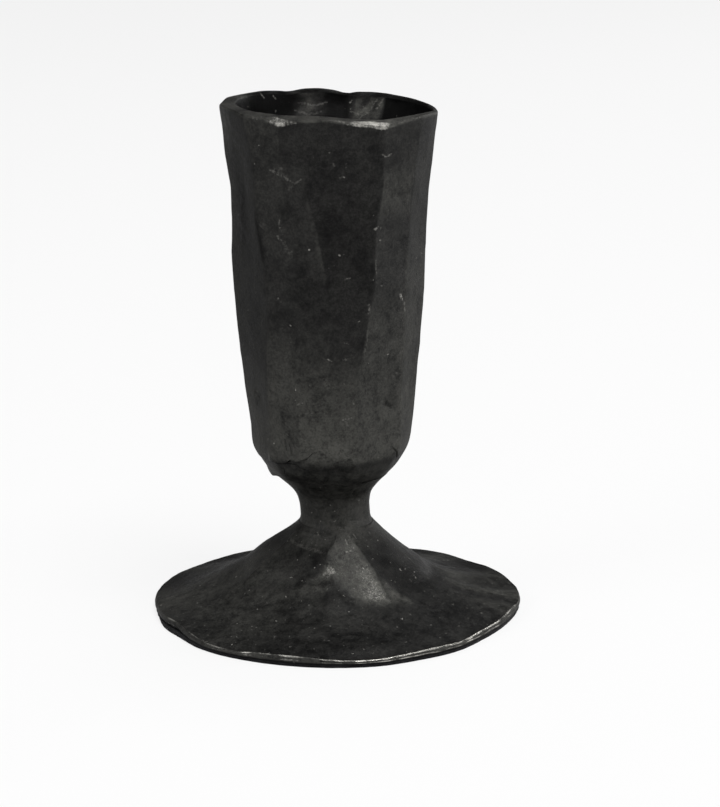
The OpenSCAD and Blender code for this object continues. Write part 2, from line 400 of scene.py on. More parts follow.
def unrolled(tree, place):
    """The socket's wall laid flat: millimetres round it from the front, and height, both a little shaken."""
    shaken = noise_of(tree, place, 1500.0, 3.0, output="Color")
    shaken = vector_of(tree, "SUBTRACT", shaken, (0.5, 0.5, 0.5))
    shaken = vector_of(tree, "MULTIPLY", shaken, (0.5, 0.5, 0))
    parts = node(tree, "ShaderNodeSeparateXYZ", {"Vector": place}).outputs
    sideways = math_of(tree, "ADD", parts["X"], MARK_SHIFT * MM)
    turn = math_of(tree, "ARCTAN2", sideways, product(tree, parts["Y"], -1.0))
    flat = node(tree, "ShaderNodeCombineXYZ", {"X": product(tree, turn, MARK_R),
                                               "Y": math_of(tree, "DIVIDE", parts["Z"], MM)}).outputs[0]
    return vector_of(tree, "ADD", flat, shaken)


def from_above(tree, place):
    """The foot laid flat: millimetres to the right and back."""
    return vector_of(tree, "MULTIPLY", place, (1 / MM, 1 / MM, 0))


# The black of painted shade and of cracks
SHADE_AND_CRACK_BLACK = (0.003, 0.003, 0.003)


def iron(name, dark, light, dust, bare, roughness, bump_height, edge_tint, speck_share, flat=None, marks=(),
         cracks=(), rub_scale=2200.0):
    """Blackened iron with worn bright edges, which reads the worn metal, dust and painted light, shade and
    highlights on the piece.

    A shading value above 0 is dust, thin scale and painted light, and one below 0 is painted shade.
    """
    material, tree, shader = new_material(name)
    place = node(tree, "ShaderNodeTexCoord").outputs["Object"]
    wear_and_painted_highlight = node(tree, "ShaderNodeAttribute", attribute_name="wear_and_painted_highlight").outputs["Fac"]
    dust_and_painted_shading = node(tree, "ShaderNodeAttribute", attribute_name="dust_and_painted_shading").outputs["Fac"]
    scale = node(tree, "ShaderNodeGroup", {"Place": place, "Speck Share": speck_share},
                 node_tree=SCALE_GROUP).outputs
    rubbed_and_highlit = node(tree, "ShaderNodeGroup", {"Place": place, "Wear And Highlight": wear_and_painted_highlight, "Size": rub_scale},
                  node_tree=RUBBED_AND_HIGHLIT_GROUP).outputs["Mask"]
    blotch, cloud, fine = scale["Blotch"], scale["Cloud"], scale["Fine"]
    # The bare skin, the dust and painted light on it, the painted shade and the cracks, and the bright metal
    # of scratches, specks, worn edges and painted highlights
    grainy = steps_of(tree, fine, 0.0, 1.0, 0.55, 1.35)
    tone = product(tree, total_of(tree, (blotch, 0.5), (cloud, 0.5)), grainy, clamp=True)
    cloudy = total_of(tree, (cloud, 0.45), (fine, 0.45), (blotch, 0.35))
    dust_and_painted_light = product(tree, larger(tree, dust_and_painted_shading, 0.0), cloudy, clamp=True)
    painted_shade_and_cracks = steps_of(tree, dust_and_painted_shading, -1.0, 0.0, 1.0, 0.0)
    bright = larger(tree, rubbed_and_highlit, product(tree, scale["Speck"], 0.7))
    height = scale["Height"]
    if flat is not None:
        broken = steps_of(tree, fine, 0.25, 0.75, 0.1, 1.0)
        struck = product(tree, strokes_on(tree, flat(tree, place), marks), broken)
        bright = larger(tree, bright, struck)
    if cracks:
        cracked = strokes_on(tree, flat(tree, place), cracks)
        painted_shade_and_cracks = larger(tree, painted_shade_and_cracks, cracked)
        height = math_of(tree, "SUBTRACT", height, product(tree, cracked, 1.5))
    skin = mix_of(tree, dust_and_painted_light, mix_of(tree, tone, dark, light), dust)
    tree.links.new(mix_of(tree, bright, mix_of(tree, painted_shade_and_cracks, skin, SHADE_AND_CRACK_BLACK), bare), shader["Base Color"])
    tree.links.new(steps_of(tree, rubbed_and_highlit, 0.0, 1.0, 0.8, 1.0), shader["Metallic"])
    rough = steps_of(tree, total_of(tree, (cloud, 0.6), (blotch, 0.4)), 0.0, 1.0, *roughness)
    rough = math_of(tree, "SUBTRACT", rough, product(tree, rubbed_and_highlit, 0.1))
    tree.links.new(rough, shader["Roughness"])
    tree.links.new(relief_of(tree, bump_height, height), shader["Normal"])
    shader["Specular IOR Level"].default_value = 0.2
    shader["Specular Tint"].default_value = (edge_tint, edge_tint, edge_tint, 1)
    return material


def felt(name, colour):
    """Short, dense black felt."""
    material, tree, shader = new_material(name)
    place = node(tree, "ShaderNodeTexCoord").outputs["Object"]
    fibres = noise_of(tree, place, 4200.0, 5.0, 0.8, 1.5)
    tufts = noise_of(tree, place, 700.0, 3.0)
    mixed = steps_of(tree, product(tree, fibres, tufts), 0.1, 0.45)
    shades = [tuple(share * c for c in colour) for share in (0.4, 1.8)]
    tree.links.new(mix_of(tree, mixed, *shades), shader["Base Color"])
    tree.links.new(relief_of(tree, 0.08, fibres), shader["Normal"])
    shader["Roughness"].default_value = 0.95
    shader["Specular IOR Level"].default_value = 0.1
    shader["Sheen Weight"].default_value = 0.04
    return material


def on_walls(lines):
    """Lines of (angle, height) points, moved to the flat map of the wall."""
    return [(strength, half, [(math.radians(angle) * MARK_R, height) for angle, height in points])
            for strength, half, points in lines]


# Scratches and nicks on the socket's wall, inside and out: (strength, half width, (angle, height) points)
WALL_MARKS = on_walls([
    (0.16, 0.3, [(-33.3, 70.2), (-28, 69.8), (-23.1, 69.1)]),
    (0.08, 0.3, [(-30.7, 70.4), (-26, 70.7)]),
    (0.05, 0.39, [(-27.7, 70.1), (-24.2, 69.6)]),
    (0.08, 0.2, [(-23.1, 69.1), (-20.3, 68.7)]),
    (0.1, 0.2, [(-19.2, 68.5), (-15.1, 69.2)]),
    (0.05, 0.24, [(-22.8, 67.6), (-20.3, 68.5)]),
    (0.16, 0.2, [(-30.2, 62.2), (-29.4, 62.9)]),
    (0.04, 0.58, [(-28.6, 62.1), (-27.4, 61.0)]),
    (0.16, 0.2, [(-30.6, 60.6), (-29.8, 60.1), (-28.2, 60.0)]),
    (0.05, 0.43, [(-26.6, 59.6), (-22.5, 57.8)]),
    (0.8, 0.15, [(-11.6, 58.8), (-11.2, 58.8)]),
    (0.8, 0.15, [(-31.5, 51.3), (-31.2, 51.3)]),
    (0.8, 0.15, [(-42.7, 28.5), (-42.3, 28.6)]),
    (0.16, 0.2, [(-22.5, 58.4), (-22.1, 58.4)]),
    (0.04, 0.49, [(-42.4, 62.0), (-40.6, 61.5)]),
    (0.16, 0.2, [(29.9, 72.6), (31.8, 72.2), (35.7, 72.5)]),
    (0.36, 0.27, [(27.4, 61.6), (29.0, 61.9)]),
    (0.16, 0.18, [(31.2, 61.6), (31.8, 61.8)]),
    (0.31, 0.18, [(31.3, 59.9), (31.7, 59.9)]),
    (0.23, 0.18, [(32.1, 53.1), (32.6, 53.1)]),
    (0.1, 0.2, [(28.1, 56.9), (28.5, 54.9)]),
    (0.2, 0.2, [(9.3, 54.4), (12.3, 54.6)]),
    (0.1, 0.24, [(2.5, 71.5), (3.2, 71.3)]),
    (0.08, 0.2, [(9.7, 71.4), (10.2, 70.8)]),
    (0.08, 0.2, [(6.6, 69.4), (8.2, 69.5)]),
    (0.23, 0.24, [(23.6, 50.5), (24.1, 49.2)]),
    (0.05, 0.35, [(24.2, 46.6), (21.9, 43.4)]),
    (0.04, 0.39, [(27.9, 48.4), (30.4, 46.5)]),
    (0.53, 0.3, [(48.4, 51.1), (50.0, 50.4)]),
    (0.13, 0.2, [(52.5, 49.8), (53.6, 48.5)]),
    (0.47, 0.21, [(-0.8, 42.5), (1.6, 42.2)]),
    (0.1, 0.2, [(8.5, 42.3), (11.7, 42.4)]),
    (0.08, 0.18, [(8.4, 44.9), (11.5, 44.8)]),
    (0.2, 0.2, [(-21.4, 35.2), (-17.8, 35.5)]),
    (0.08, 0.2, [(-16.0, 33.9), (-11.8, 34.1)]),
    (0.2, 0.2, [(8.4, 33.0), (14.6, 33.3)]),
    (0.08, 0.3, [(11.2, 32.8), (12.6, 32.2)]),
    (0.06, 0.7, [(-2.6, 39.0), (-1.4, 38.4)]),
    (0.2, 0.3, [(-51.2, 25.5), (-49.6, 26.6)]),
    (0.13, 0.2, [(50.2, 39.1), (50.6, 39.1)]),
    (0.05, 0.3, [(-62.0, 25.5), (-50.5, 25.5)]),
    (0.3, 0.15, [(-136, 77.9), (-138, 77.2)]),
    (0.25, 0.15, [(-145, 77.3), (-146, 76.8)]),
    (0.4, 0.13, [(-120, 76.5), (-120.6, 76.4)]),
    (0.3, 0.15, [(-145, 75.2), (-144.5, 75.0)]),
    (0.3, 0.15, [(168, 76.3), (168.6, 75.9)]),
    (0.3, 0.12, [(167, 75.2), (168, 75.0)]),
    (0.1, 0.2, [(-178, 76.0), (-170, 75.6), (-161, 76.0)]),
    (0.08, 0.2, [(-174, 74.6), (-166, 74.3), (-158, 74.9)]),
    (0.08, 0.25, [(-170, 73.3), (-160, 73.0)]),
    (0.12, 0.18, [(152, 76.8), (156, 74.8), (163, 73.4)]),
    (0.16, 0.2, [(148.5, 76.8), (152, 75.2)]),
    (0.1, 0.2, [(168, 74.6), (160, 74.2)]),
])
WALL_CRACKS = on_walls([
    (0.65, 0.15, [(-57, 25.14), (-50, 25.26), (-37, 25.45), (-28, 25.5), (-22, 25.02), (-19, 24.8)]),
    (0.39, 0.11, [(-33, 25.9), (-30, 26.3), (-24, 26.15), (-17, 26.8)]),
    (0.52, 0.11, [(-40, 24.63), (-40, 24.05), (-43, 23.3)]),
    (0.4, 0.2, [(-33.5, 29.4), (-32.5, 27.8)]),
    (0.45, 0.16, [(-29.5, 28.9), (-27.8, 27.2)]),
    (0.25, 0.1, [(51, 27.75), (54, 27.24), (59, 26.52), (63, 25.66), (65, 25.23)]),
    (0.23, 0.38, [(-66, 35.7), (-60, 35.0)]),
    (0.55, 0.6, [(44.5, 34.6), (48, 34.0)]),
    (0.2, 0.19, [(-45, 72.4), (-46, 71.2)]),
])
# Nicks on the cone, seen from above: (strength, half width, (x, y) points)
FOOT_MARKS = [
    (0.28, 0.14, [(1.2, -6.6), (1.5, -7.1)]),
    (0.28, 0.14, [(1.3, -8.1), (1.9, -7.9), (2.4, -7.4)]),
    (0.19, 0.12, [(2.4, -5.7), (2.8, -6.0)]),
    (0.22, 0.1, [(-3.1, -5.4), (-2.9, -5.7)]),
    (0.17, 0.1, [(4.8, -3.9), (5.0, -4.1)]),
    (0.33, 0.12, [(10.9, -7.0), (11.1, -7.1)]),
    (0.33, 0.26, [(-2.1, -11.1), (-1.3, -10.9)]),
    (0.22, 0.14, [(-1.6, -13.6), (-1.1, -13.2)]),
    (0.05, 0.35, [(-4.4, -11.5), (-2.0, -11.2)]),
    (0.1, 0.32, [(-7.4, -3.3), (-6.4, -4.9), (-4.2, -6.8), (-1.9, -8.4)]),
]

# The skin where it is darkest and lightest, the dust on it, also used for painted light, and bare metal, also
# used for painted highlights
IRON_COLOURS = ((0.009, 0.009, 0.009), (0.032, 0.0315, 0.03), (0.085, 0.084, 0.076), (0.42, 0.41, 0.38))
PLAIN_COLOURS = ((0.02, 0.02, 0.019), (0.06, 0.058, 0.055), (0.1, 0.098, 0.09), (0.4, 0.39, 0.37))
WALL_IRON = iron("wall_iron", *IRON_COLOURS, (0.42, 0.6), 0.07, 0.5, 0.05, unrolled, WALL_MARKS, WALL_CRACKS)
FOOT_IRON = iron("foot_iron", *IRON_COLOURS, (0.4, 0.58), 0.08, 0.5, 0.34, from_above, FOOT_MARKS,
                 rub_scale=3600.0)
NECK_IRON = iron("neck_iron", *IRON_COLOURS, (0.4, 0.58), 0.08, 0.5, 0.2)
PLAIN_IRON = iron("plain_iron", *PLAIN_COLOURS, (0.38, 0.52), 0.05, 0.6, 0.1)
BLACK_FELT = felt("black_felt", (0.008, 0.008, 0.009))


# Socket

# The lap over the heel and the mean height of the rim, then the bore
LAP, RIM = 26.0, 78.0
BORE_LOW, BORE_HIGH, BORE_R = 44.0, 64.0, 11.25

# How the twelve ridges wander: (height, angle)
RIDGES = [
    [(22, -47), (26, -47), (33, -45), (43, -41), (48.8, -38), (56, -40), (62, -46), (73.5, -45), (77, -49)],
    [(22, -22), (26, -22), (38, -20), (41.3, -17), (47.5, -14), (53.3, -18), (57.5, -21), (61.3, -30),
     (65.7, -25), (68.8, -27), (77.1, -26)],
    [(22, 0), (26, 0), (47, 1), (55.8, -1), (58.1, -3), (62.8, -7), (66.3, -12), (70, -10), (74, -3),
     (77, 0)],
    [(22, 18), (26, 18), (39.3, 17), (43.7, 22), (49.2, 24), (53, 28), (62.5, 28), (67.2, 31), (76.4, 30)],
    [(22, 59), (26, 59), (40, 55), (50, 53), (66, 56), (77, 58)],
    [(22, 86), (26, 86), (40, 82), (55, 86), (77, 86)],
    [(22, 114), (40, 116), (52, 110), (64, 114), (77, 113)],
    [(22, 142), (36, 139), (50, 143), (66, 146), (77, 148)],
    [(22, 172), (38, 174), (52, 168), (64, 172), (77, 170)],
    [(22, 203), (40, 200), (58, 206), (77, 203)],
    [(22, 237), (36, 240), (50, 236), (66, 240), (77, 236)],
    [(22, 275), (40, 277), (56, 274), (68, 276), (77, 272)],
]
RIDGE_TRACKS = [curve(rows, 2.4) for rows in RIDGES]
# How far each ridge stands out, and how soft it is
RIDGE_SHARES = [1.012, 1.0, 1.004, 1.006, 0.987, 1.0, 1.0, 1.008, 0.996, 1.004, 1.004, 1.0]
RIDGE_SOFT = [0.06, 0.05, 0.05, 0.02, 0.06, 0.05, 0.07, 0.05, 0.07, 0.07, 0.07, 0.05]

outer_radius = curve([
    (20, 7.3), (22, 8.72), (22.6, 9.3), (23.2, 9.95), (24, 10.5), (25, 11.12), (26, 11.67), (27, 11.95),
    (28, 12.1), (30, 12.28), (34, 12.83), (41, 13.55), (51, 14.36), (56, 14.47), (61, 14.58), (66, 14.84),
    (71, 15.47), (75, 15.88), (79, 16.48),
], 1.0)
outer_shift = curve([
    (20, -0.9), (22, -1.0), (26, -1.07), (28, -0.95), (30, -0.9), (34, -1.05), (41, -1.15), (51, -1.26),
    (56, -1.33), (61, -1.19), (66, -1.08), (71, -1.19), (75, -1.17), (79, -1.15),
], 1.6)
inner_radius = curve([(22, 8.2), (24.4, 8.4), (44, 11.25), (64, 11.25), (71, 12.75), (78, 14.1)], 1.0)

# Height of the rim's outer and inner edge round the socket: (angle, height)
outer_rim = ring([
    (-60, 78.25), (-49, 77.9), (-38, 77.9), (-32, 77.6), (-26, 77.2), (-20, 77.6), (-14, 77.9), (0, 78.1),
    (12, 77.6), (22, 77.1), (31, 76.7), (40, 77.1), (49, 77.4), (58, 77.5), (72, 77.3), (86, 77.0),
    (100, 77.0), (113, 77.0), (128, 77.3), (141, 77.4), (156, 77.6), (166, 77.5), (171, 77.1), (176, 77.6),
    (180, 77.8), (186, 78.0), (195, 78.0), (203, 77.6), (210, 77.9), (220, 78.1), (236, 78.0), (255, 78.3),
    (270, 78.0), (285, 78.25),
], 4.5)
inner_rim = ring([
    (-60, 78.35), (-26, 78.4), (-5, 78.4), (10, 78.0), (31, 77.6), (45, 77.7), (60, 77.65), (75, 77.4),
    (86, 77.1), (113, 77.0), (141, 77.3), (170, 77.3), (186, 78.0), (203, 77.6), (220, 78.1), (236, 78.1),
    (255, 78.4), (270, 78.2), (285, 78.35),
], 7)
mouth_radius = ring([
    (-90, 14.0), (-45, 13.95), (0, 13.95), (45, 14.25), (90, 14.45), (135, 14.3), (180, 14.1), (225, 14.0),
], 20)
# How much the mouth widens at the very top, where the lip is thin: (angle, widening)
thin_lip = ring([
    (-110, 0.3), (-90, 0.0), (-65, 0.2), (-45, 0.7), (-20, 0.7), (0, 0.4), (20, 0.5), (45, 0.8), (70, 0.8),
    (90, 1.0), (120, 1.3), (180, 1.4), (225, 1.3),
], 10)
# How much of the rim's edge is rubbed bright: (angle, share)
rim_wear = ring([
    (-75, 0.3), (-55, 0.3), (-48, 0.25), (-41, 0.3), (-35, 0.5), (-29, 0.75), (-24, 0.75), (-19, 0.42),
    (-10, 0.35), (-2, 0.35), (3, 0.4), (9, 0.6), (18, 0.72), (26, 0.95), (32, 0.85), (36, 0.4), (41, 0.15),
    (48, 0.2), (60, 0.4), (75, 0.4), (110, 0.3), (150, 0.4), (170, 0.45), (200, 0.4), (240, 0.35),
], 4)

# The ragged edge of the iron that laps over the heel at the left: (angle, height), and its thickness
lap_edge = ring([
    (-120, 26.0), (-105, 25.2), (-90, 24.6), (-75, 24.9), (-62, 25.3), (-57, 25.6), (-50, 25.35), (-44, 25.5),
    (-38, 25.55), (-33, 25.9), (-30.5, 26.4), (-27, 26.15), (-22, 26.3), (-17, 26.9), (-13, 27.7), (-8, 28.2),
    (0, 27.6), (14, 26.4), (30, 26.0), (44, 26.0), (52, 27.6), (58, 26.7), (64, 25.3), (72, 25.0), (84, 26.0),
    (110, 25.8), (160, 26.3), (200, 25.8), (235, 26.0),
], 1.6)
lap_step = ring([
    (-120, 0.0), (-92, 0.02), (-80, 0.1), (-68, 0.3), (-50, 0.36), (-30, 0.34), (-20, 0.28), (-14, 0.12),
    (-9, 0.0), (46, 0.0), (54, 0.08), (62, 0.12), (70, 0.06), (78, 0.0), (150, 0.0), (165, 0.15), (185, 0.1),
    (195, 0.0), (225, 0.0),
], 3)

# Single dents of the hammer: (angle, height, radius, depth), and two small dints above the lap
DENTS = [
    (47, 34.2, 2.0, 0.22), (-59, 35.2, 2.2, 0.2), (12, 63, 5.0, 0.12), (8, 40, 4.5, 0.1), (-8, 50, 4.0, 0.1),
    (42, 66, 4.5, 0.1), (38, 45, 4.0, 0.08), (-33, 44, 4.0, 0.1), (-35, 68, 4.0, 0.12), (70, 60, 5.0, 0.12),
    (72, 38, 4.5, 0.12), (100, 50, 5.0, 0.14), (128, 66, 5.0, 0.12), (130, 38, 5.5, 0.14),
    (158, 54, 5.0, 0.14), (188, 66, 5.0, 0.12), (186, 40, 5.0, 0.14), (220, 54, 5.5, 0.14),
    (256, 64, 5.0, 0.12), (252, 42, 5.0, 0.12), (290, 52, 5.0, 0.12), (296, 70, 4.0, 0.1),
]
LAP_DINTS = [(0.12, (-33, 2.2), (27.0, 28.7), (28.7, 30.4)), (0.1, (-28.5, 1.8), (26.5, 28), (28, 29.5))]

# Painted light above 0 and painted shade below 0 on each panel, from its left ridge on: (height, painted
# shading)
PANEL_PAINTED_SHADING = [curve(rows, 3.0) for rows in [
    [(26, 0.6), (34, 0.5), (40, 0.5), (45, 0.1), (50, -0.1), (54, 0.0), (59, 0.1), (65, 0.1), (70, 0.1),
     (76, 0.2)],
    [(26, 0.95), (34, 0.8), (40, 0.4), (45, 0.1), (50, -0.05), (58, 0.05), (66, 0.0), (70, 0.1), (76, -0.15)],
    [(26, 1.0), (34, 0.7), (38, 0.5), (42, 0.1), (47, -0.15), (54, -0.3), (62, -0.35), (66, -0.15),
     (71, 0.05), (76, -0.1)],
    [(26, 0.7), (34, 0.4), (40, 0.4), (46, 0.3), (52, 0.05), (60, 0.0), (63, 0.0), (67, 0.5), (71, 0.0),
     (76, -0.1)],
    [(26, 0.7), (34, 0.5), (42, 0.4), (50, 0.3), (56, 0.2), (62, 0.05), (70, 0.05), (76, 0.0)],
    [(26, 0.5), (40, 0.2), (60, 0.1), (76, 0.1)],
    [(26, 0.6), (40, 0.1), (60, 0.3), (76, 0.0)],
    [(26, 0.4), (40, 0.3), (60, 0.0), (76, 0.3)],
    [(26, 0.6), (40, 0.1), (60, 0.2), (76, 0.1)],
    [(26, 0.5), (40, 0.3), (60, 0.1), (76, 0.2)],
    [(26, 0.6), (40, 0.3), (60, 0.0), (76, 0.2)],
    [(26, 0.5), (36, 0.2), (46, -0.1), (60, -0.1), (70, -0.1), (76, -0.15)],
]]
# The painted shade on the left side of the flare
WALL_PAINTED_SHADE = [(-0.6, (-66, 18), (50, 64), (64, 78))]

# The painted light band above the heel: (angle, height), and the painted shade of the wedge at the left:
# (height, angle)
light_band = curve([
    (-30, 28.4), (-12, 28.4), (-6, 27.8), (0, 28.6), (4, 28.2), (12, 27.3), (20, 26.3), (30, 27.0),
    (43, 28.0), (60, 28.0),
], 3)
shaded_wedge = curve([(55, -39.5), (58, -41), (62, -45.5), (65, -49.5), (70, -50)], 1)


@functools.lru_cache(maxsize=None)
def ridge_angles(height):
    return [track(height) for track in RIDGE_TRACKS]


def chord(a, b, angle):
    """Radius at an angle on the straight line between two (angle, radius) corners."""
    (a_angle, a_radius), (b_angle, b_radius) = a, b
    u = math.radians(angle)
    spread = b_radius * math.sin(math.radians(b_angle) - u) + a_radius * math.sin(u - math.radians(a_angle))
    whole = a_radius * b_radius * math.sin(math.radians(b_angle - a_angle))
    return whole / spread if spread > 1e-6 else 1e3


def softer(a, b, width):
    """The smaller of two radii, rounded where they meet."""
    gap = (a - b) / width
    return a - width * math.log1p(math.exp(gap)) if gap < 30 else b


def panel_place(turn, tracks):
    """The panel under a column, the part of the way across it, and the angle there."""
    i = int(turn / 30) % 12
    part = turn / 30 - int(turn / 30)
    a = tracks[i]
    b = tracks[i + 1] if i < 11 else tracks[0] + 360
    return i, part, blend(a, b, part)


def outer_wall(i, part, angle, height, tracks):
    """Radius of the hammered outside at an angle and height."""
    radius = outer_radius(height)
    corners = []
    for k in (i - 1, i, i + 1, i + 2):
        turns = 360 * (k // 12)
        corners.append((tracks[k % 12] + turns, radius * RIDGE_SHARES[k % 12]))
    before, here, after = [chord(a, b, angle) for a, b in zip(corners, corners[1:])]
    # Rounder at the heel, and at the rim
    crisp = ease(22, 28, height)
    soft_a, soft_b = [RIDGE_SOFT[k % 12] + 0.12 * (1 - crisp) for k in (i, i + 1)]
    flat = softer(softer(here, before, soft_a), after, soft_b)
    rounded = blend(corners[1][1], corners[2][1], part)
    return blend(rounded, flat, 0.35 + 0.55 * crisp - 0.4 * ease(70, 77, height))


def mouth_wall(signed, part, level):
    """Radius of the mouth above the bore, which is nearly round, with two flat panels at the back."""
    flat = 0.25 + 0.6 * sector(signed, 172, 42)
    sagitta = 1 - math.cos(math.radians(15)) / math.cos(math.radians(30 * (part - 0.5)))
    mouth = mouth_radius(signed) * (1.0 - flat * sagitta - 0.004)
    radius = blend(BORE_R, mouth, (level - BORE_HIGH) / (RIM - BORE_HIGH))
    return radius + thin_lip(signed) * ease(71, 77.4, level)


def wall_relief(signed, place, height, radius):
    """The hammer's marks on the outside of the wall."""
    body = ease(24, 30, height)
    relief = body * (0.07 * hammered(place, 5.5, 1) + 0.09 * grain(place, 9, 2) + 0.03 * grain(place, 2.6, 3))
    relief += 0.012 * grain(place, 0.9, 4) - patchwork(LAP_DINTS, signed, height)
    for dent_angle, dent_height, dent_r, depth in DENTS:
        if abs(height - dent_height) < dent_r:
            away = math.hypot(math.radians(around(signed, dent_angle)) * radius, height - dent_height)
            if away < dent_r:
                relief -= depth * (1 - (away / dent_r) ** 2) ** 2
    return relief


def wall_painted_shading(i, part, signed, height):
    """Painted light and shade on the outside of the wall: each panel's own, with a painted light band above
    the lap.
    """
    dust_and_painted_shading = PANEL_PAINTED_SHADING[i](height) * ease(25.0, 26.6, height) + patchwork(WALL_PAINTED_SHADE, signed, height)
    dust_and_painted_shading += 0.45 * bump(light_band(signed) - height, 1.6) * sector(signed, 14, 34)
    dust_and_painted_shading -= 0.6 * sector(signed, shaded_wedge(height), 3.5) * ease(55.6, 57, height) * fade(62, 65.5, height)
    if i == 1:
        # The leaf-shaped face is painted in shade along the upper half of its left edge and painted lighter
        # along its right edge
        dust_and_painted_shading -= 0.35 * bump(part - 0.12, 0.2) * bump(height - 65, 4)
        dust_and_painted_shading += 0.25 * bump(part - 0.92, 0.1) * bump(height - 59, 9)
    return dust_and_painted_shading


def lip_finish(signed, side, level, place):
    """Worn metal and dust of the lip, bright on its outer half and grey on the rest of it, with painted shade
    at its back.
    """
    # The back of the lip is painted in shade, and shows less bright metal
    back = ease(85, 115, signed) * fade(225, 245, signed)
    start = 0.6 - 0.45 * sector(signed, 25, 22) - 0.5 * sector(signed, -30, 12)
    lip = ease(start, start + 0.3, side) * ease(77.2, 77.7, level)
    below = bump(level - 77.6, 0.3) * (1 if side > 0.99 else 0)
    uneven = 0.9 + 0.5 * grain(place, 1.4, 14)
    inner_edge = bump(side - 0.06, 0.14)
    wear_and_painted_highlight = rim_wear(signed) * max(lip, 0.45 * below, 0.5 * inner_edge) * uneven * (1 - 0.7 * back)
    return wear_and_painted_highlight, (0.5 + 0.5 * grain(place, 1.8, 15) - 1.1 * back) * ease(77.4, 77.8, level)


def mouth_painted_shading(signed, level, place):
    """Painted shade inside the mouth, and painted light on the two panels at the back, with painted
    highlights on the rough one along a slanting line.
    """
    soft_lit_panel = sector(signed, 192, 13)
    rough_lit_panel = ease(146.5, 148.5, signed) * fade(163, 171, signed) if signed > 0 else 0
    streaks = grain(Vector((place.x, place.y, 3 * place.z)), 1.4, 16)
    slanted_highlight = sector(signed, 150 + 4 * (RIM - level), 2.5)
    dust_and_painted_shading = (0.9 + 0.9 * streaks) * soft_lit_panel - 0.8
    dust_and_painted_shading += (1.1 + 0.9 * grain(place, 1.2, 9) + 0.5 * slanted_highlight) * rough_lit_panel
    return (0.2 + 0.35 * grain(place, 0.8, 10) + 0.15 * slanted_highlight) * rough_lit_panel, dust_and_painted_shading


def socket_place(turn, reach, side, level):
    """Where a vertex of the socket goes, and its worn metal, dust and painted light, shade and highlights."""
    tracks = ridge_angles(level)
    i, part, angle = panel_place(turn, tracks)
    signed = angle if angle < 240 else angle - 360
    on_wall = reach > 0.99
    outside = side > 0.5
    height = level
    # Rows near the heel bend to follow the edge of the lap
    if outside and on_wall and level < 33:
        lift = lap_edge(signed) - LAP
        height += lift * (ease(BOTTOM, LAP, level) if level < LAP else fade(LAP, 33, level))
    if level > 70:
        edge = blend(inner_rim(signed), outer_rim(signed), side) - RIM
        height += edge * ease(70, 77.4, level)
    radius_in = mouth_wall(signed, part, level) if level > BORE_HIGH else inner_radius(level)
    radius_out = outer_wall(i, part, angle, height, tracks) if side > 0 else radius_in
    place = at_angle(angle, radius_out, 0, height)
    step = lap_step(signed) if outside and on_wall and level < 34 else 0.0
    if outside:
        radius_out += wall_relief(signed, place, height, radius_out)
        if step:
            over = level >= LAP - 0.01
            radius_out += step * (0.8 * fade(LAP, 34, level) if over else -0.75 * ease(23.4, 25.9, level))
    elif level < BORE_LOW or level > BORE_HIGH:
        relief = (0.14 * grain(place, 4, 6) + 0.08 * grain(place, 1.6, 8)) * ease(66, 72, level)
        radius_in += relief + 0.01 * grain(place, 1.1, 7)
    radius = blend(radius_in, radius_out, side)
    shift = blend(BORE_SHIFT, outer_shift(height), side)
    # The torn lip at the left of the heel hangs a little lower than the rest of the bottom
    if reach > 0.8 and level < 24:
        torn = ease(0.8, 1.0, reach) * fade(BOTTOM, 24, level)
        radius += 0.3 * torn * sector(signed, -90, 40)
        height -= 0.62 * torn * sector(signed, -88, 24)
    radius = blend(HOLE_R, radius, reach)
    shift = blend(RIVET_SHIFT, shift, reach)
    wear_and_painted_highlight, dust_and_painted_shading = lip_finish(signed, side, level, place) if level > 76.6 and on_wall else (0.0, 0.0)
    if side > 0.99 and on_wall:
        ridge = bump(part, 0.05) if part < 0.5 else bump(1 - part, 0.05)
        crisp = i == 3 and part < 0.5 or i == 2 and part > 0.5
        wear_and_painted_highlight = max(wear_and_painted_highlight, (0.34 if crisp else 0.16) * ridge * ease(26, 34, height))
        # Painted light and shade on the wall, and painted light low on the heel
        dust_and_painted_shading = max(dust_and_painted_shading, 0.0) + wall_painted_shading(i, part, signed, height) + 0.5 * fade(23.5, 26, height)
        # Painted shadow under the step of the lap
        if step > 0.2 and level < LAP:
            dust_and_painted_shading -= 0.45 * ease(25.2, 25.9, level)
        if step > 0.2 and level >= LAP:
            wear_and_painted_highlight = max(wear_and_painted_highlight, 0.4 * bump(level - LAP, 0.4))
    elif side < 0.01 and level > 60:
        wear_and_painted_highlight, dust_and_painted_shading = mouth_painted_shading(signed, level, place)
    return at_angle(angle, radius, shift, height), wear_and_painted_highlight, dust_and_painted_shading


def socket():
    outline = [  # reach, side, level, cuts
        (0, 1, BOTTOM, 9), (1, 1, BOTTOM, 11), (1, 1, 24, 15), (1, 1, LAP, 15), (1, 1, 29, 95),
        (1, 1, 72, 17), (1, 1, 77.45, 2), (1, 0.975, 77.8, 2), (1, 0.9, RIM, 7), (1, 0.1, RIM, 2),
        (1, 0.025, 77.8, 2), (1, 0, 77.45, 23), (1, 0, BORE_HIGH, 15), (1, 0, BORE_LOW, 15),
        (1, 0, SEAT_LOW, 7), (0, 0, SEAT_LOW, 2),
    ]
    rows = [(blend(HOLE_R, 12 + 4 * side, reach), level, cuts, (reach, side, level))
            for reach, side, level, cuts in outline]
    bm, layers = turned(rows, 288, ("reach", "side", "level"))
    shaped(bm, layers, socket_place)
    return finish("hammered_socket", bm, WALL_IRON, "socket")


# Neck

NECK_R = 5.4
# The fillet at the foot of the neck is an arc, with its middle at this radius and height
FILLET_R, FILLET_MIDDLE_R, FILLET_MIDDLE_Z = 3.0, 8.4, 15.6


def fillet_share(angle):
    """How full the fillet between the neck and the cone is: most at the front."""
    return 0.4 + 0.6 * sector(angle, 0, 90)


